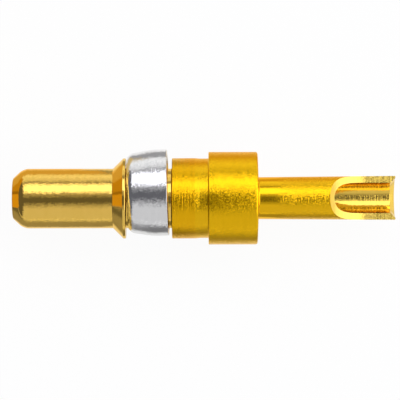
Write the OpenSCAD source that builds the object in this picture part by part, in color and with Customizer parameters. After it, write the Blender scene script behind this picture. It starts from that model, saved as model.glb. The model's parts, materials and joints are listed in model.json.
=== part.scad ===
// Power contact for a D-shaped connector: a turned male contact whose tail ends in an open
// solder cup, and the split spring clip that locks it in the connector's insulator.
// The axis runs along X. The nose points to -X, the tail to +X, and the cup opens to +Z.
// The origin is on the axis, in the flange's front face, which seats against the insulator.

/* [Contact pin] */
// Diameter of the mating pin
pin_d = 3.6; // [3:0.05:4.4]
// Length of the pin, from the tip of its nose to the collar's cone
pin_len = 6.08; // [4:0.02:12]
// Diameter of the front of the nose, where its chamfer starts
nose_front_d = 2.43; // [1.2:0.01:2.8]
// How far the middle of the front stands out
nose_crown = 0.05; // [0.01:0.01:0.15]
// Radius between the front of the nose and its chamfer
nose_corner_r = 0.15; // [0.05:0.01:0.4]
// Angle between the nose's chamfer and the axis
nose_angle = 43; // [25:1:60]
// Radius that blends the nose's chamfer into the pin
nose_blend_r = 0.8; // [0.2:0.05:1.5]

/* [Collar] */
// Angle between the collar's cone and the axis
collar_angle = 45; // [30:1:60]
// Width of the land behind the cone
collar_land = 0.16; // [0.1:0.01:0.6]

/* [Neck] */
// Diameter of the neck that carries the clip
neck_d = 3.6; // [3:0.05:4]
// Length of the neck, from the collar to the seat
neck_len = 2.78; // [2:0.02:5]

/* [Seat] */
// Diameter of the seat and of the collar, which pass through the insulator's bore
seat_d = 4.85; // [4.5:0.05:5.3]
// Length of the seat, in front of the flange
seat_len = 2.2; // [1:0.05:5]
// Width of the relief beside the flange
relief_w = 0.52; // [0.2:0.02:0.9]
// Depth of the relief
relief_depth = 0.025; // [0.01:0.005:0.1]

/* [Flange] */
// Diameter of the flange
flange_d = 5.6; // [5.2:0.05:8]
// Length of the flange, at its rim
flange_len = 2.95; // [1:0.05:6]
// Slope of the flange's rear face, which rises towards the tail
flange_rear_slope = 3; // [1:0.5:10]
// Radius of the flange's rear edge
flange_rear_r = 0.12; // [0.02:0.01:0.4]

/* [Tail] */
// Diameter of the tail at the flange
tail_root_d = 2.54; // [2.2:0.02:3.2]
// Diameter of the tail at the cup's mouth
tail_end_d = 2.65; // [2.5:0.01:3.4]
// Length of the tail, from the flange's rim
tail_len = 8.34; // [7:0.01:14]

/* [Solder cup] */
// Diameter of the cup's bore
cup_d = 1.84; // [1.2:0.02:2.1]
// Depth of the bore's straight wall
cup_depth = 5.4; // [4.2:0.05:6.6]
// Angle of the drill point at the bottom of the bore
drill_angle = 118; // [90:1:140]
// Width of the chamfer at the bore's mouth
cup_chamfer = 0.28; // [0.05:0.01:0.32]
// Length of the flat cut, on the axis, that takes away the upper half of the cup
scoop_len = 1.69; // [0.6:0.01:2.6]
// Radius of the sweep from that cut up to the top of the tail
scoop_r = 2.72; // [1.5:0.02:3.2]

/* [Turned edges] */
// Break on the outer edges
edge_r = 0.05; // [0.01:0.01:0.08]
// Radius that the turning tool leaves in the inner corners
tool_r = 0.06; // [0.03:0.01:0.15]

/* [Retaining clip] */
// Wall of the clip
clip_wall = 0.24; // [0.15:0.01:0.35]
// Radial play between the clip's front lip and the neck
clip_play = 0.335; // [0.1:0.005:0.5]
// Gap left where the clip leans on the neck
clip_rest_gap = 0.035; // [0.005:0.005:0.05]
// Play of the clip along the neck
clip_end_play = 0.36; // [0.3:0.02:0.8]
// Gap between the collar and the clip
clip_front_gap = 0.12; // [0.1:0.01:0.2]
// How far the clip widens from its lip to its straight rear, the turned lip included
clip_spread = 0.225; // [0.12:0.005:0.4]
// Length of the straight rear
clip_straight_len = 0.95; // [0.3:0.05:1.2]
// Length of the lead-in at the front
clip_lead_in = 0.2; // [0.1:0.02:0.36]
// How far the lip turns in over the lead-in
clip_lip_turn = 0.055; // [0.02:0.005:0.1]
// Radius that rounds the lead-in into the widening
clip_nose_r = 0.3; // [0.1:0.05:0.6]
// Radius that blends the widening into the straight rear
clip_blend_r = 4; // [1:0.5:6]
// Thickness left at the very front of the lip
clip_lip_edge = 0.03; // [0.02:0.01:0.1]
// Width of the slit that lets the clip close
clip_slit = 0.6; // [0.2:0.05:1.5]
// Direction of the slit about the axis, from straight up
clip_slit_turn = 180; // [0:5:360]
// Lean of the clip's rear towards +Y
clip_yaw = 1.4; // [0.2:0.2:2]
// Lean of the clip's rear towards +Z
clip_pitch = 1.1; // [0.1:0.2:2]

/* [Hidden] */
$fn = 128;

// Flats between the points of a rounded corner or a sweep
corner_steps = 8;
sweep_steps = 24;
// Cutters reach this far past the surfaces that they open
overcut = 1;
// Largest share of a straight stretch that one rounded corner may take
corner_share = 0.48;

// Radii of the turned body
pin_r = pin_d / 2;
neck_r = neck_d / 2;
seat_r = seat_d / 2;
relief_r = seat_r - relief_depth;
flange_r = flange_d / 2;
tail_root_r = tail_root_d / 2;
tail_end_r = tail_end_d / 2;
nose_front_r = nose_front_d / 2;
cup_r = cup_d / 2;

// Places along the axis, from the flange's front face
seat_x = -seat_len;
relief_x = -relief_w;
collar_rear_x = seat_x - neck_len;
collar_x = collar_rear_x - collar_land;
cone_x = collar_x - (seat_r - pin_r) / tan(collar_angle);
nose_x = cone_x - pin_len;
nose_edge_x = nose_x + nose_crown;
nose_end_x = nose_edge_x + (pin_r - nose_front_r) / tan(nose_angle);
flange_rear_x = flange_len + (flange_r - tail_root_r) * tan(flange_rear_slope);
tail_end_x = flange_len + tail_len;
cup_bottom_x = tail_end_x - cup_depth;
cup_tip_x = cup_bottom_x - cup_r / tan(drill_angle / 2);
scoop_x = tail_end_x - scoop_len;

// Radii and lengths of the clip, from its front lip
clip_len = neck_len - clip_end_play;
clip_lip_r = neck_r + clip_play;
clip_turn_r = clip_lip_r + clip_lip_turn;
clip_bore_r = clip_lip_r + clip_spread;
clip_outer_r = clip_bore_r + clip_wall;
clip_straight_x = clip_len - clip_straight_len;

function unit(v) = v / norm(v);

function flat(corner) = [corner.x, corner.y];

// Points of the arc that rounds the corner b, between a and c, with radius r
function arc(a, b, c, r) =
    let (
        to_a = unit(a - b),
        to_c = unit(c - b),
        half = acos(to_a * to_c) / 2,
        room = corner_share * min(norm(a - b), norm(c - b)),
        reach = min(r / tan(half), room),
        radius = reach * tan(half),
        centre = b + unit(to_a + to_c) * radius / sin(half),
        from = b + to_a * reach - centre,
        to = b + to_c * reach - centre,
        start = atan2(from.y, from.x),
        sweep = (180 - 2 * half) * sign(cross(from, to))
    )
    [for (i = [0 : corner_steps])
        let (angle = start + sweep * i / corner_steps)
        centre + radius * [cos(angle), sin(angle)]];

// Outline through corners given as [x, radius from the axis, rounding]
function outline(corners) =
    [for (i = [0 : len(corners) - 1])
        let (corner = corners[i])
        each (corner.z > 0
            ? arc(flat(corners[i - 1]), flat(corner), flat(corners[i + 1]), corner.z)
            : [flat(corner)])];

// Solid turned about the X axis from such corners
module turned(corners) {
    rotate([0, 90, 0])
        rotate_extrude()
            polygon([for (p = outline(corners)) [p.y, p.x]]);
}

// Outside of the contact, from the nose to the tail
body_corners = [
    [nose_x, 0, 0],
    [nose_edge_x, nose_front_r, nose_corner_r],
    [nose_end_x, pin_r, nose_blend_r],
    [cone_x, pin_r, tool_r],
    [collar_x, seat_r, edge_r],
    [collar_rear_x, seat_r, edge_r],
    [collar_rear_x, neck_r, tool_r],
    [seat_x, neck_r, tool_r],
    [seat_x, seat_r, edge_r],
    [relief_x - relief_depth, seat_r, 0],
    [relief_x, relief_r, 0],
    [0, relief_r, tool_r],
    [0, flange_r, edge_r],
    [flange_len, flange_r, flange_rear_r],
    [flange_rear_x, tail_root_r, tool_r],
    [tail_end_x, tail_end_r, edge_r],
    [tail_end_x, 0, 0]
];

// Drilled and countersunk bore of the cup
cup_corners = [
    [cup_tip_x, 0, 0],
    [cup_bottom_x, cup_r, 0],
    [tail_end_x - cup_chamfer, cup_r, 0],
    [tail_end_x + overcut, cup_r + cup_chamfer + overcut, 0],
    [tail_end_x + overcut, 0, 0]
];

// Cutter that opens the cup: flat on the axis, then swept up to the top of the tail
module scoop() {
    top = max(scoop_r, tail_end_r) + overcut;
    sweep = [for (i = [0 : sweep_steps])
        let (angle = 270 - 90 * i / sweep_steps)
        [scoop_x + scoop_r * cos(angle), scoop_r + scoop_r * sin(angle)]];
    far_end = [
        [scoop_x - scoop_r, top],
        [tail_end_x + overcut, top],
        [tail_end_x + overcut, 0]
    ];
    rotate([90, 0, 0])
        linear_extrude(tail_end_d + 2 * overcut, center = true)
            polygon(concat(sweep, far_end));
}

module contact_body() {
    color("gold")
        difference() {
            turned(body_corners);
            turned(cup_corners);
            scoop();
        }
}

// Wall of the clip: rounded lead-in, widening, straight rear, then back along the bore
clip_corners = [
    [0, clip_lip_r, 0],
    [0, clip_lip_r + clip_lip_edge, 0],
    [clip_lead_in, clip_turn_r + clip_wall, clip_nose_r],
    [clip_straight_x, clip_outer_r, clip_blend_r],
    [clip_len, clip_outer_r, 0],
    [clip_len, clip_bore_r, 0],
    [clip_straight_x, clip_bore_r, clip_blend_r],
    [clip_lead_in, clip_turn_r, 0]
];

module clip_slot() {
    rotate([clip_slit_turn, 0, 0])
        translate([-overcut, -clip_slit / 2, 0])
            cube([clip_len + 2 * overcut, clip_slit, clip_outer_r + overcut]);
}

// The clip floats on the neck: its lip leans on the -Y side, and its rear leans away
module retaining_clip() {
    color("silver")
        translate([collar_rear_x + clip_front_gap, clip_play - clip_rest_gap, 0])
            rotate([0, -clip_pitch, clip_yaw])
                difference() {
                    turned(clip_corners);
                    clip_slot();
                }
}

contact_body();
retaining_clip();
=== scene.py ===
import json
import math

import bmesh
import bpy
from mathutils import Matrix, Vector


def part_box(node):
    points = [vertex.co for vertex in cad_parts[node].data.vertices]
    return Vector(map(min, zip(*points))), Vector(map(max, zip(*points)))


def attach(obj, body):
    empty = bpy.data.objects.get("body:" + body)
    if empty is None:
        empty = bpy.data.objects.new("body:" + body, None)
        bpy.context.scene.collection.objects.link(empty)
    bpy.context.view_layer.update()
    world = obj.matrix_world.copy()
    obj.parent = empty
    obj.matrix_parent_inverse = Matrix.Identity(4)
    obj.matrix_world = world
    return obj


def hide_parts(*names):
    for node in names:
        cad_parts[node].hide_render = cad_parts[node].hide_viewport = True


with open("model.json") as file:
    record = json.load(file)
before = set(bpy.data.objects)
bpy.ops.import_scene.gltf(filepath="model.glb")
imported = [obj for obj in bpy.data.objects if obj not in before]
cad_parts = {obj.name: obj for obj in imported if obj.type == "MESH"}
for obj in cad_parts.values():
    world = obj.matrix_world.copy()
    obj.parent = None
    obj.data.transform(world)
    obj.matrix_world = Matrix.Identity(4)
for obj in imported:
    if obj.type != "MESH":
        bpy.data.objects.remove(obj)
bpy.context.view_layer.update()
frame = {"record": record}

# Contact body: one piece turned from copper alloy bar, with the tail drilled and then milled
# open to a solder cup, and gold plated all over. The pin, the collar and the neck are polished.
# The seat, the flange and the tail keep the fine rings that the turning tool left.
mm = 0.001
mounts = {mount["name"]: mount["dims"] for mount in frame["record"]["mounts"]}
body_low, body_high = (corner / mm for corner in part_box("contact_body"))

# Sizes in millimetres and angles, from the nose to the tail. X is measured from the flange's front.
nose_x = body_low.x
nose_crown = 0.05
nose_front_r = 1.215
nose_corner_r = 0.15
nose_angle = math.radians(43)
nose_blend_r = 0.8
pin_r = mounts["contact_pin"]["r_mm"]
collar_angle = math.radians(45)
collar_land = 0.16
neck_r = 1.8
neck_len = 2.78
seat_x = -2.2
seat_r = 2.425
rings_end_x = -0.82
relief_x = -0.52
relief_depth = 0.025
relief_blend_r = 1
flange_r = body_high.z
flange_len = 2.95
flange_rear_slope = math.radians(3)
flange_rear_r = 0.12
tail_root_r = 1.27
tail_end_r = 1.325
tail_end_x = body_high.x
cup_r = mounts["solder_cup"]["r_mm"]
cup_depth = 5.4
cup_chamfer = 0.28
cup_edge_r = 0.03
drill_half_angle = math.radians(59)
drill_corner_r = 0.05
scoop_len = 1.69
scoop_r = 2.72
edge_r = 0.05
tool_r = 0.06

nose_edge_x = nose_x + nose_crown
nose_end_x = nose_edge_x + (pin_r - nose_front_r) / math.tan(nose_angle)
neck_x = seat_x - neck_len
collar_x = neck_x - collar_land
cone_x = collar_x - (seat_r - pin_r) / math.tan(collar_angle)
flange_rear_x = flange_len + (flange_r - tail_root_r) * math.tan(flange_rear_slope)
cup_bottom_x = tail_end_x - cup_depth
drill_tip_x = cup_bottom_x - cup_r / math.tan(drill_half_angle)
scoop_x = tail_end_x - scoop_len

# Corners of the turned outline, as (x, radius, rounding), from the nose to the drill's tip
body_corners = [
    (nose_x, 0, 0),
    (nose_edge_x, nose_front_r, nose_corner_r),
    (nose_end_x, pin_r, nose_blend_r),
    (cone_x, pin_r, tool_r),
    (collar_x, seat_r, edge_r),
    (neck_x, seat_r, edge_r),
    (neck_x, neck_r, tool_r),
    (seat_x, neck_r, tool_r),
    (seat_x, seat_r, edge_r),
    (rings_end_x, seat_r, relief_blend_r),
    (relief_x, seat_r - relief_depth, relief_blend_r),
    (0, seat_r - relief_depth, tool_r),
    (0, flange_r, edge_r),
    (flange_len, flange_r, flange_rear_r),
    (flange_rear_x, tail_root_r, tool_r),
    (tail_end_x, tail_end_r, edge_r),
    (tail_end_x, cup_r + cup_chamfer, cup_edge_r),
    (tail_end_x - cup_chamfer, cup_r, cup_edge_r),
    (cup_bottom_x, cup_r, drill_corner_r),
    (drill_tip_x, 0, 0),
]

# Steps of a full turn and of a rounding, the share of a stretch that a rounding may take, and the
# distance within which doubles merge
ring_steps = 256
corner_steps = 12
corner_share = 0.48
weld_distance = 1e-5


def turned(corners, sweep=math.tau, closed=False):
    """A skin spun about the X axis from corners given as (x, radius, rounding)."""
    bm = bmesh.new()
    spots = [Vector((x, 0, radius)) for x, radius, _ in corners]
    points = [bm.verts.new(spot) for spot in spots]
    for start, end in zip(points, points[1:]):
        bm.edges.new((start, end))
    if closed:
        bm.edges.new((points[-1], points[0]))
    for i, (_, _, rounding) in enumerate(corners):
        if rounding:
            back = spots[i - 1] - spots[i]
            ahead = spots[(i + 1) % len(spots)] - spots[i]
            reach = rounding / math.tan(back.angle(ahead) / 2)
            reach = min(reach, corner_share * back.length, corner_share * ahead.length)
            bmesh.ops.bevel(bm, geom=[points[i]], offset=reach, segments=corner_steps,
                            profile=0.5, affect="VERTICES", material=-1)
    bmesh.ops.spin(bm, geom=bm.verts[:] + bm.edges[:], cent=(0, 0, 0), axis=(1, 0, 0),
                   angle=sweep, steps=ring_steps, use_merge=sweep == math.tau)
    bmesh.ops.remove_doubles(bm, verts=bm.verts[:], dist=weld_distance)
    bmesh.ops.recalc_face_normals(bm, faces=bm.faces[:])
    return bm


sharp_angle = math.radians(30)


def finished(name, bm, materials):
    """The object of a mesh made in millimetres, smooth between its sharp edges."""
    bmesh.ops.scale(bm, vec=(mm, mm, mm), verts=bm.verts[:])
    mesh = bpy.data.meshes.new(name)
    bm.to_mesh(mesh)
    bm.free()
    for material in materials:
        mesh.materials.append(material)
    mesh.polygons.foreach_set("use_smooth", [True] * len(mesh.polygons))
    mesh.set_sharp_from_angle(angle=sharp_angle)
    piece = bpy.data.objects.new(name, mesh)
    bpy.context.scene.collection.objects.link(piece)
    return piece


# Steps of the scoop's sweep, and how far its cutter reaches past the tail
scoop_steps = 48
cutter_past = 1.0


def scoop_cutter():
    """The milling cut: flat on the axis, then swept up through the top of the tail."""
    half_width = tail_end_r + cutter_past
    far_x = tail_end_x + cutter_past
    bm = bmesh.new()
    start = bm.verts.new((scoop_x, -half_width, 0))
    bmesh.ops.spin(bm, geom=[start], cent=(scoop_x, -half_width, scoop_r), axis=(0, 1, 0),
                   angle=math.pi / 2, steps=scoop_steps)
    last = min(bm.verts, key=lambda v: v.co.x)
    far_low = bm.verts.new((far_x, -half_width, 0))
    far_high = bm.verts.new((far_x, -half_width, scoop_r))
    bm.edges.new((start, far_low))
    bm.edges.new((far_low, far_high))
    bm.edges.new((far_high, last))
    side = bmesh.ops.contextual_create(bm, geom=bm.edges[:])["faces"]
    grown = bmesh.ops.extrude_face_region(bm, geom=side)["geom"]
    moved = [v for v in grown if isinstance(v, bmesh.types.BMVert)]
    bmesh.ops.translate(bm, vec=(0, 2 * half_width, 0), verts=moved)
    bmesh.ops.recalc_face_normals(bm, faces=bm.faces[:])
    return bm


def add_node(tree, kind, inputs, **settings):
    """A new node with these settings, whose inputs get values or the outputs of other nodes."""
    node = tree.nodes.new(kind)
    for setting, choice in settings.items():
        setattr(node, setting, choice)
    for key, given in inputs.items():
        if isinstance(given, bpy.types.NodeSocket):
            tree.links.new(given, node.inputs[key])
        else:
            node.inputs[key].default_value = given
    return node


def number_from(tree, operation, inputs):
    """The result of one operation on numbers."""
    return add_node(tree, "ShaderNodeMath", inputs, operation=operation).outputs[0]


def vector_from(tree, operation, inputs):
    """The result of one operation on places or directions."""
    return add_node(tree, "ShaderNodeVectorMath", inputs, operation=operation).outputs[0]


def eased(tree, value, start, end, low, high):
    """A value that goes smoothly from low to high while the given one goes from start to end."""
    inputs = {"Value": value, "From Min": start, "From Max": end, "To Min": low, "To Max": high}
    return add_node(tree, "ShaderNodeMapRange", inputs, interpolation_type="SMOOTHSTEP").outputs[0]


def new_group(name, numbers, output, kind):
    """A shader node group that turns these numbers into one value: its tree and its two ends."""
    tree = bpy.data.node_groups.new(name, "ShaderNodeTree")
    for label in numbers:
        tree.interface.new_socket(label, in_out="INPUT", socket_type="NodeSocketFloat")
    tree.interface.new_socket(output, in_out="OUTPUT", socket_type=kind)
    return tree, tree.nodes.new("NodeGroupInput"), tree.nodes.new("NodeGroupOutput")


# Length over which a finish's marks come in past their start, and their share before it
marks_fade = 1.2
marks_before = 0.15


def marks_shown(tree, start):
    """The place in millimetres, and the share of the marks that shows there."""
    place = add_node(tree, "ShaderNodeTexCoord", {}).outputs["Object"]
    in_mm = vector_from(tree, "SCALE", {0: place, "Scale": 1 / mm})
    along = add_node(tree, "ShaderNodeSeparateXYZ", {0: in_mm}).outputs["X"]
    past = number_from(tree, "SUBTRACT", {0: along, 1: start})
    return in_mm, eased(tree, past, 0, marks_fade, marks_before, 1)


noise_middle = 0.5
ring_detail = 2


def ring_group():
    """Heights of the turning rings: noise that is fine along X and long round the piece."""
    numbers = ("Rings per mm", "Drift per mm", "Start in mm")
    tree, given, result = new_group("turning_rings", numbers, "Height", "NodeSocketFloat")
    place, shown = marks_shown(tree, given.outputs["Start in mm"])
    drift = given.outputs["Drift per mm"]
    paces = {"X": given.outputs["Rings per mm"], "Y": drift, "Z": drift}
    pace = add_node(tree, "ShaderNodeCombineXYZ", paces).outputs[0]
    stretched = vector_from(tree, "MULTIPLY", {0: place, 1: pace})
    look = {"Vector": stretched, "Scale": 1, "Detail": ring_detail}
    noise = add_node(tree, "ShaderNodeTexNoise", look).outputs["Fac"]
    swing = number_from(tree, "SUBTRACT", {0: noise, 1: noise_middle})
    height = number_from(tree, "MULTIPLY_ADD", {0: swing, 1: shown, 2: noise_middle})
    tree.links.new(height, result.inputs[0])
    return tree


def grain_group():
    """The plating's grain: small cells whose normals lean a little, each its own way."""
    numbers = ("Grains per mm", "Lean", "Start in mm")
    tree, given, result = new_group("plating_grain", numbers, "Normal", "NodeSocketVector")
    tree.interface.new_socket("Normal", in_out="INPUT", socket_type="NodeSocketVector")
    place, shown = marks_shown(tree, given.outputs["Start in mm"])
    look = {"Vector": place, "Scale": given.outputs["Grains per mm"]}
    cells = add_node(tree, "ShaderNodeTexVoronoi", look).outputs["Color"]
    cell_middle = (noise_middle, noise_middle, noise_middle)
    either_way = vector_from(tree, "SUBTRACT", {0: cells, 1: cell_middle})
    amount = number_from(tree, "MULTIPLY", {0: given.outputs["Lean"], 1: shown})
    lean = vector_from(tree, "SCALE", {0: either_way, "Scale": amount})
    leant = vector_from(tree, "ADD", {0: given.outputs["Normal"], 1: lean})
    normal = vector_from(tree, "NORMALIZE", {0: leant})
    tree.links.new(normal, result.inputs[0])
    return tree


turning_rings = ring_group()
plating_grain = grain_group()

# Tints of the metals at grazing angles, the heights between which the skin goes from its smoother
# to its rougher end, and the start of marks that cover a whole piece
gold_edge = (1, 0.92, 0.72)
white_edge = (1, 1, 1)
smooth_height = 0.3
rough_height = 0.7
before_nose_x = nose_x - marks_fade


def plated(name, low, high, roughness, rings, grain, start=before_nose_x, edge=gold_edge):
    """A plated metal between two colours and two roughnesses, which change from ring to ring.
    Rings are given as (per mm, drift per mm, depth in mm) and the grain as (per mm, lean)."""
    rings_per_mm, drift, depth = rings
    grains_per_mm, lean = grain
    material = bpy.data.materials.new(name)
    material.use_nodes = True
    tree = material.node_tree
    cut = {"Rings per mm": rings_per_mm, "Drift per mm": drift, "Start in mm": start}
    ring = add_node(tree, "ShaderNodeGroup", cut, node_tree=turning_rings).outputs[0]
    shades = {"Factor": ring, "A": (*low, 1), "B": (*high, 1)}
    colour = add_node(tree, "ShaderNodeMix", shades, data_type="RGBA").outputs["Result"]
    gloss = eased(tree, ring, smooth_height, rough_height, *roughness)
    bump = add_node(tree, "ShaderNodeBump", {"Height": ring, "Distance": depth * mm}).outputs[0]
    cells = {"Grains per mm": grains_per_mm, "Lean": lean, "Start in mm": start, "Normal": bump}
    normal = add_node(tree, "ShaderNodeGroup", cells, node_tree=plating_grain).outputs[0]
    metal = tree.nodes["Principled BSDF"]
    metal.inputs["Metallic"].default_value = 1
    metal.inputs["Specular Tint"].default_value = (*edge, 1)
    tree.links.new(colour, metal.inputs["Base Color"])
    tree.links.new(gloss, metal.inputs["Roughness"])
    tree.links.new(normal, metal.inputs["Normal"])
    return material


# The tail is smooth at its root, so its marks start behind that
tail_smooth_len = 0.75
tail_marks_x = flange_rear_x + tail_smooth_len
gold_finishes = [
    plated("polished_gold", (0.92, 0.59, 0.105), (0.98, 0.64, 0.138), roughness=(0.08, 0.12),
           rings=(3, 1, 0.0003), grain=(28, 0.03)),
    plated("grained_gold", (0.92, 0.59, 0.105), (0.98, 0.64, 0.138), roughness=(0.06, 0.09),
           rings=(3, 1, 0.0003), grain=(28, 0.14)),
    plated("turned_gold", (0.88, 0.47, 0.005), (0.97, 0.53, 0.009), roughness=(0.18, 0.26),
           rings=(13, 0.5, 0.022), grain=(38, 0.29)),
    plated("smooth_gold", (0.90, 0.51, 0.008), (0.95, 0.55, 0.012), roughness=(0.14, 0.20),
           rings=(6, 0.5, 0.003), grain=(42, 0.28)),
    plated("satin_gold", (0.89, 0.51, 0.006), (0.97, 0.56, 0.010), roughness=(0.14, 0.18),
           rings=(5, 1.2, 0.003), grain=(42, 0.29)),
    plated("tail_gold", (0.92, 0.52, 0.008), (0.99, 0.57, 0.014), roughness=(0.14, 0.20),
           rings=(12, 0.6, 0.010), grain=(34, 0.37), start=tail_marks_x),
    plated("drilled_gold", (0.91, 0.61, 0.085), (0.98, 0.665, 0.125), roughness=(0.10, 0.16),
           rings=(9, 0.4, 0.006), grain=(30, 0.06), edge=white_edge),
    plated("milled_gold", (0.92, 0.64, 0.10), (0.98, 0.71, 0.165), roughness=(0.27, 0.36),
           rings=(9, 0.4, 0.008), grain=(24, 0.13)),
]
POLISHED, GRAINED, TURNED, SMOOTH, SATIN, TAIL, DRILLED, MILLED = range(len(gold_finishes))


def finish_at(place):
    """Which finish the turned body has at a place on its skin."""
    if nose_end_x < place.x < cone_x:
        return GRAINED
    if place.x < seat_x:
        return POLISHED
    if place.x < rings_end_x:
        return TURNED
    if place.x < 0:
        return SMOOTH
    if place.x < flange_rear_x:
        return SATIN
    if math.hypot(place.y, place.z) > cup_r + cup_chamfer:
        return TAIL
    return DRILLED


# Half a step's turn keeps the skin's long edges out of the plane of the milling cut
body_mesh = turned(body_corners)
half_step = Matrix.Rotation(math.pi / ring_steps, 4, "X")
bmesh.ops.rotate(body_mesh, cent=(0, 0, 0), matrix=half_step, verts=body_mesh.verts[:])
for face in body_mesh.faces:
    face.material_index = finish_at(face.calc_center_median())
contact_body = finished("contact_body_turned", body_mesh, gold_finishes)

cutter_mesh = scoop_cutter()
for face in cutter_mesh.faces:
    face.material_index = MILLED
cutter = finished("scoop_cutter", cutter_mesh, gold_finishes)
milling = contact_body.modifiers.new("milling", "BOOLEAN")
milling.operation = "DIFFERENCE"
milling.solver = "EXACT"
milling.object = cutter
milled_body = contact_body.evaluated_get(bpy.context.evaluated_depsgraph_get())
milled_mesh = bpy.data.meshes.new_from_object(milled_body)
contact_body.modifiers.clear()
contact_body.data = milled_mesh
milled_mesh.set_sharp_from_angle(angle=sharp_angle)
bpy.data.objects.remove(cutter)
body_shading = contact_body.modifiers.new("shading", "WEIGHTED_NORMAL")
body_shading.keep_sharp = True

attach(contact_body, "root")
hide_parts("contact_body")

# Retaining clip: a split sleeve pressed from spring strip and plated with bright nickel. It floats
# on the neck between the collar and the seat, where its lip all but rests on one side.
clip_len = 2.42
clip_wall = 0.24
clip_lip_r = 2.135
clip_lip_edge = 0.03
clip_lip_corner_r = 0.01
clip_bend_x = 0.13
clip_bend_rise = 0.165
clip_bend_r = 0.3
clip_shoulder_x = 0.30
clip_shoulder_rise = 0.27
clip_shoulder_r = 0.5
clip_spread = 0.225
clip_straight_x = 1.47
clip_blend_r = 4
clip_rear_corner_r = 0.03
clip_lead_in = 0.2
clip_lip_turn = 0.055
clip_slit = 0.6
clip_front_gap = 0.12
clip_shift = 0.3
clip_yaw = math.radians(1.4)
clip_pitch = math.radians(1.1)

# Corners of the wall, from the lip back along the outside and forward again along the bore
clip_bore_r = clip_lip_r + clip_spread
clip_outer_r = clip_bore_r + clip_wall
clip_corners = [
    (0, clip_lip_r, clip_lip_corner_r),
    (0, clip_lip_r + clip_lip_edge, clip_lip_corner_r),
    (clip_bend_x, clip_lip_r + clip_bend_rise, clip_bend_r),
    (clip_shoulder_x, clip_lip_r + clip_shoulder_rise, clip_shoulder_r),
    (clip_straight_x, clip_outer_r, clip_blend_r),
    (clip_len, clip_outer_r, clip_rear_corner_r),
    (clip_len, clip_bore_r, clip_rear_corner_r),
    (clip_straight_x, clip_bore_r, clip_blend_r),
    (clip_lead_in, clip_lip_r + clip_lip_turn, 0),
]

nickel = plated("bright_nickel", (0.80, 0.80, 0.795), (0.87, 0.865, 0.855), roughness=(0.10, 0.13),
                rings=(4, 2, 0.001), grain=(22, 0.15), edge=white_edge)

# The slit lies underneath, and its two ends are squared to stand parallel before they are closed
slit_angle = 2 * math.asin(clip_slit / 2 / clip_outer_r)
slit_below = Matrix.Rotation(math.pi + slit_angle / 2, 4, "X")
clip_mesh = turned(clip_corners, sweep=math.tau - slit_angle, closed=True)
bmesh.ops.rotate(clip_mesh, cent=(0, 0, 0), matrix=slit_below, verts=clip_mesh.verts[:])
slit_edges = [edge for edge in clip_mesh.edges if edge.is_boundary]
for vert in {vert for edge in slit_edges for vert in edge.verts}:
    radius = math.hypot(vert.co.y, vert.co.z)
    vert.co.y = math.copysign(clip_slit / 2, vert.co.y)
    vert.co.z = -math.sqrt(radius ** 2 - vert.co.y ** 2)
bmesh.ops.holes_fill(clip_mesh, edges=slit_edges)
bmesh.ops.recalc_face_normals(clip_mesh, faces=clip_mesh.faces[:])
clip_lean = Matrix.Rotation(clip_yaw, 4, "Z") @ Matrix.Rotation(-clip_pitch, 4, "Y")
clip_place = Matrix.Translation((neck_x + clip_front_gap, clip_shift, 0)) @ clip_lean
bmesh.ops.transform(clip_mesh, matrix=clip_place, verts=clip_mesh.verts[:])
retaining_clip = finished("retaining_clip_pressed", clip_mesh, [nickel])
clip_shading = retaining_clip.modifiers.new("shading", "WEIGHTED_NORMAL")
clip_shading.keep_sharp = True

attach(retaining_clip, "root")
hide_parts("retaining_clip")

# Floor: a plain table under the flange, white to the camera, with the contact's faint shadow. In the
# metal it is pale beside the contact, with painted shade farther off and more of it in front of the
# clip and past the nose, and a painted warm glow behind the gold that stands in for light the gold
# reflects.
table_half_size = 2.0
table_z = body_low.z * mm
floor_mesh = bpy.data.meshes.new("floor")
floor_shape = bmesh.new()
bmesh.ops.create_grid(floor_shape, size=table_half_size)
bmesh.ops.translate(floor_shape, vec=(0, 0, table_z), verts=floor_shape.verts[:])
floor_shape.to_mesh(floor_mesh)
floor_shape.free()
floor = bpy.data.objects.new("floor", floor_mesh)
bpy.context.scene.collection.objects.link(floor)

white_table = bpy.data.materials.new("white_table")
white_table.use_nodes = True
table = white_table.node_tree
table.nodes.clear()
table_place = add_node(table, "ShaderNodeTexCoord", {}).outputs["Object"]


def zone(low, high, fade, inside, outside):
    """A value on this rectangle of the table, which eases to another while the distance from the
    rectangle goes through the fade. Places and distances are in millimetres."""
    middle = (Vector(low) + Vector(high)) / 2 * mm
    half = (Vector(high) - Vector(low)) / 2 * mm
    from_middle = vector_from(table, "SUBTRACT", {0: table_place, 1: (*middle, table_z)})
    either_way = vector_from(table, "ABSOLUTE", {0: from_middle})
    past_edge = vector_from(table, "SUBTRACT", {0: either_way, 1: (*half, 0)})
    past = vector_from(table, "MAXIMUM", {0: past_edge})
    distance = add_node(table, "ShaderNodeVectorMath", {0: past}, operation="LENGTH")
    start, end = fade
    return eased(table, distance.outputs["Value"], start * mm, end * mm, inside, outside)


def product(first, second):
    """Two values of the table multiplied."""
    return number_from(table, "MULTIPLY", {0: first, 1: second})


# Where the table gets painted shade: outside a border round the contact, which is wider round its
# middle, but not far behind it nor beyond the tail, and less so far in front
table_end = 400
middle_half_width = 4.4
dim_front_y = -90
dim_back_y = 12
dim_end_x = 10
front_y = -20
front_shade_share = 0.55
off_length = zone(body_low.xy, body_high.xy, fade=(0.6, 1.9), inside=0, outside=1)
off_middle = zone((neck_x, -middle_half_width), (flange_len, middle_half_width),
                  fade=(0.4, 2.0), inside=0, outside=1)
off_body = product(off_length, off_middle)
in_patch = zone((-table_end, dim_front_y), (dim_end_x, dim_back_y),
                fade=(0, 6), inside=1, outside=0)
not_far = zone((-table_end, front_y), (table_end, table_end),
               fade=(0, 8), inside=1, outside=front_shade_share)
painted_shade = product(product(off_body, in_patch), not_far)
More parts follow.
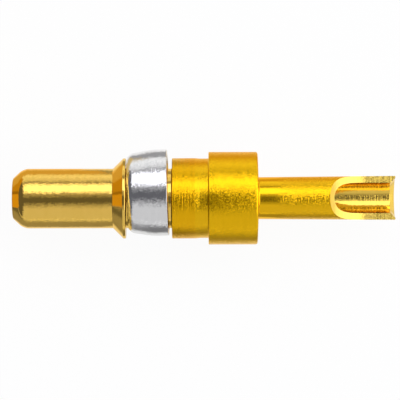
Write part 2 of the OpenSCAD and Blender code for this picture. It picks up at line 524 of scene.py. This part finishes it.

# Where the painted shade is darker: in front of the clip, and past the nose
clip_shade = 0.55
nose_shade = 0.4
nose_shade_x = -27
nose_shade_y = 90
painted_clip_shade = zone((neck_x, front_y), (seat_x, 0), fade=(0, 1.5), inside=clip_shade, outside=1)
painted_nose_shade = zone((-table_end, dim_front_y), (nose_shade_x, nose_shade_y),
                 fade=(0, 8), inside=nose_shade, outside=1)

# Where a painted warm glow stands in for light reflected off the gold: behind the gold, but not where
# the clip and its lip would mirror the glow
warm_low = (-30, 3)
warm_high = (12, 13)
clip_clear_x = neck_x - 1.3
clip_clear_y = 20
lip_clear_x = neck_x - 2.4
lip_clear_y = 4.2
off_clip = zone((clip_clear_x, 0), (seat_x, clip_clear_y), fade=(0, 0.8), inside=0, outside=1)
off_lip = zone((lip_clear_x, 0), (seat_x, lip_clear_y), fade=(0, 0.8), inside=0, outside=1)
behind_gold = zone(warm_low, warm_high, fade=(0, 3), inside=1, outside=0)
glow = product(behind_gold, product(off_clip, off_lip))

# The paint that light falls on, darkened by the painted shade, and the shares of plain white and of
# painted warm glow laid over it
pale_paint = 0.95
painted_shade_grey = 0.36
pale_mirrored = 0.75
dim_mirrored = 0.04
camera_white = 0.94
painted_glow_level = 0.50
painted_glow_colour = (1, 0.62, 0.03, 1)
white = (1, 1, 1, 1)
ray = add_node(table, "ShaderNodeLightPath", {}).outputs
to_camera = ray["Is Camera Ray"]
mirrored = number_from(table, "MAXIMUM", {0: ray["Is Glossy Ray"], 1: ray["Is Transmission Ray"]})
paint = product(product(eased(table, painted_shade, 0, 1, pale_paint, painted_shade_grey), painted_clip_shade), painted_nose_shade)
shown_paint = number_from(table, "MAXIMUM", {0: paint, 1: product(to_camera, pale_paint)})
mirrored_white = product(mirrored, eased(table, painted_shade, 0, 1, pale_mirrored, dim_mirrored))
white_share = number_from(table, "ADD", {0: mirrored_white, 1: product(to_camera, camera_white)})
glow_share = product(product(glow, mirrored), painted_glow_level)
table_paint = add_node(table, "ShaderNodeBsdfDiffuse", {"Color": shown_paint}).outputs[0]
table_white = add_node(table, "ShaderNodeEmission", {"Color": white}).outputs[0]
painted_gold_glow = add_node(table, "ShaderNodeEmission", {"Color": painted_glow_colour}).outputs[0]
plain_layers = {"Fac": white_share, 1: table_paint, 2: table_white}
plain = add_node(table, "ShaderNodeMixShader", plain_layers).outputs[0]
warm_layers = {"Fac": glow_share, 1: plain, 2: painted_gold_glow}
warmed = add_node(table, "ShaderNodeMixShader", warm_layers).outputs[0]
add_node(table, "ShaderNodeOutputMaterial", {"Surface": warmed})
floor_mesh.materials.append(white_table)

# Light: softboxes along both sides of the contact, with a dim gap above it where the camera looks
# through, a bright card beyond the tail, and warm cards beyond the nose, which the camera does not
# see. Angles are in degrees from straight up, about the contact, and reaches are in metres.
lamp_distance = 0.25
far_side = (0, 1)
near_side = (0, -1)
tail_side = (1, 0)
along_contact = (-0.2, 0.45)
across_tail = (-0.12, 0.12)
cool_white = (1, 1, 1.08)


def softbox(name, side, angles, reach, radiance, colour=(1, 1, 1)):
    """A rectangular lamp that spans these angles on that side, and this reach across them."""
    low_angle, high_angle = angles
    middle = math.radians(low_angle + high_angle) / 2
    half = math.radians(high_angle - low_angle) / 2
    lamp = bpy.data.lights.new(name, "AREA")
    lamp.color = colour
    lamp.shape = "RECTANGLE"
    lamp.size = reach[1] - reach[0]
    lamp.size_y = 2 * lamp_distance * math.tan(half)
    lamp.energy = radiance * math.pi * lamp.size * lamp.size_y
    holder = bpy.data.objects.new(name, lamp)
    bpy.context.scene.collection.objects.link(holder)
    outward = Vector((side[0] * math.sin(middle), side[1] * math.sin(middle), math.cos(middle)))
    across = Vector((abs(side[1]), abs(side[0]), 0))
    spot = outward * lamp_distance + across * (reach[0] + reach[1]) / 2
    turn = Matrix((across, outward.cross(across), outward)).transposed()
    holder.matrix_world = Matrix.Translation(spot) @ turn.to_4x4()


softbox("key_softbox", far_side, (23, 57.5), along_contact, radiance=1.6, colour=cool_white)
softbox("key_spill", far_side, (8, 23), along_contact, radiance=0.25)
softbox("low_gap", far_side, (57.5, 70.5), along_contact, radiance=0.24)
softbox("low_card", far_side, (70.5, 91), along_contact, radiance=0.70)
softbox("fill_edge", near_side, (21, 33), along_contact, radiance=0.30)
softbox("fill_softbox", near_side, (33, 91), along_contact, radiance=0.54)
softbox("tail_card", tail_side, (12, 90.45), across_tail, radiance=1.5)

warm_card_x = nose_x - 9
warm_card_height = 6
unit_half = 0.5
warm_card_colour = (0.66, 0.38, 0.03, 1)


def warm_card(name, low_y, high_y, strength):
    """An upright strip of glowing card beyond the nose, which the camera does not see."""
    mesh = bpy.data.meshes.new(name)
    shape = bmesh.new()
    bmesh.ops.create_grid(shape, size=unit_half)
    upright = Matrix.Rotation(math.pi / 2, 3, "Y")
    bmesh.ops.rotate(shape, cent=(0, 0, 0), matrix=upright, verts=shape.verts[:])
    bmesh.ops.scale(shape, vec=(1, high_y - low_y, warm_card_height), verts=shape.verts[:])
    middle = Vector((warm_card_x, (low_y + high_y) / 2, body_low.z + warm_card_height / 2))
    bmesh.ops.translate(shape, vec=middle, verts=shape.verts[:])
    bmesh.ops.scale(shape, vec=(mm, mm, mm), verts=shape.verts[:])
    shape.to_mesh(mesh)
    shape.free()
    card = bpy.data.objects.new(name, mesh)
    card.visible_camera = False
    bpy.context.scene.collection.objects.link(card)
    glow_paint = bpy.data.materials.new(name + "_paint")
    glow_paint.use_nodes = True
    tree = glow_paint.node_tree
    tree.nodes.clear()
    glow_look = {"Color": warm_card_colour, "Strength": strength}
    glow_light = add_node(tree, "ShaderNodeEmission", glow_look).outputs[0]
    add_node(tree, "ShaderNodeOutputMaterial", {"Surface": glow_light})
    mesh.materials.append(glow_paint)


warm_card("warm_card_near", low_y=-4, high_y=2, strength=1.04)
warm_card("warm_card_gap", low_y=2, high_y=3.3, strength=0.50)
warm_card("warm_card_far", low_y=3.3, high_y=16, strength=0.84)

# The room is dim, and only the camera sees it white
room_colour = (0.135, 0.135, 0.15, 1)
studio = bpy.data.worlds.new("studio")
bpy.context.scene.world = studio
studio.use_nodes = True
room = studio.node_tree
dim_room = room.nodes["Background"]
dim_room.inputs["Color"].default_value = room_colour
backdrop = add_node(room, "ShaderNodeBackground", {"Color": white}).outputs[0]
room_ray = add_node(room, "ShaderNodeLightPath", {}).outputs["Is Camera Ray"]
room_layers = {"Fac": room_ray, 1: dim_room.outputs[0], 2: backdrop}
room_mix = add_node(room, "ShaderNodeMixShader", room_layers).outputs[0]
room.links.new(room_mix, room.nodes["World Output"].inputs["Surface"])

# Camera: straight above the middle of the contact, so near that the cup's mouth curves in as in the
# photograph, and turned a trifle so that the tail rises in the picture.
camera_height = 150
camera_near = 10
view_width = 24.16
view_centre = (-0.513, -0.105)
view_turn = math.radians(-0.13)
camera_lens = bpy.data.cameras.new("camera")
camera_lens.lens = camera_lens.sensor_width * camera_height / view_width
camera_lens.clip_start = camera_near * mm
camera = bpy.data.objects.new("camera", camera_lens)
camera.location = Vector((*view_centre, camera_height)) * mm
camera.rotation_euler = (0, 0, view_turn)
bpy.context.scene.collection.objects.link(camera)
bpy.context.scene.camera = camera
bpy.context.scene.view_settings.view_transform = "Standard"
